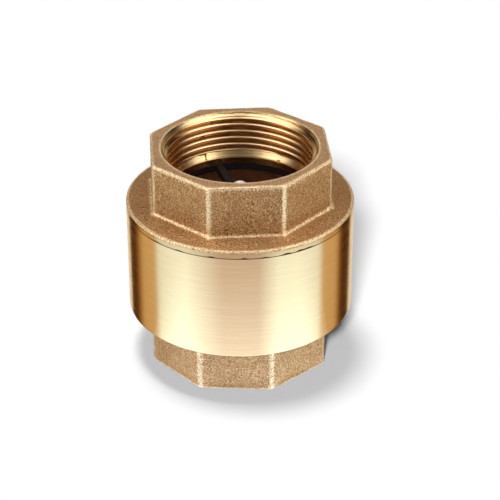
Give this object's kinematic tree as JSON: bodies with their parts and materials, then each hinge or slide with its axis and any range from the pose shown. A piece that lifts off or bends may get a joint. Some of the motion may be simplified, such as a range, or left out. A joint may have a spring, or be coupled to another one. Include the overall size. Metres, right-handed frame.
{
  "type": "non-return valve",
  "caption": "In-line spring check valve in cast and turned brass: octagon ends with female pipe threads, round body, screwed end cap and sprung plunger with domed guide stem.",
  "frame": {"origin": "centre of the inlet face, which the valve stands on", "axes": "+Z is the flow direction, up the axis from the inlet to the outlet; -Y is the side that faces the camera"},
  "size_m": [0.071, 0.071, 0.0715],
  "materials": {
    "body_brass": "shot-blasted casting with a turned cylinder",
    "cap_brass": "shot-blasted casting with a turned rim, face and thread",
    "o_ring_rubber": "matt black nitrile",
    "guide_plastic": "moulded, matt",
    "spring_steel": "drawn stainless wire",
    "plunger_plastic": "moulded, off-white",
    "seal_rubber": "matt black nitrile",
    "plate_brass": "turned",
    "washer_steel": "plain stainless",
    "screw_steel": "plain stainless"
  },
  "bodies": {
    "housing": {"valve_body": "body_brass", "end_cap": "cap_brass", "body_o_ring": "o_ring_rubber", "guide_spider": "guide_plastic", "spring": "spring_steel"},
    "check_plunger": {"plunger": "plunger_plastic", "seat_seal": "seal_rubber", "seal_plate": "plate_brass", "lock_washer": "washer_steel", "plunger_screw": "screw_steel"}
  },
  "joints": [
    {"name": "plunger_lift", "type": "slide", "parent": "housing", "child": "check_plunger", "axis": [0, 0, 1], "range_m": [0, 0.01], "stiffness_N_per_m": 250, "springref_m": -0.0152, "deforming": ["spring"]}
  ]
}
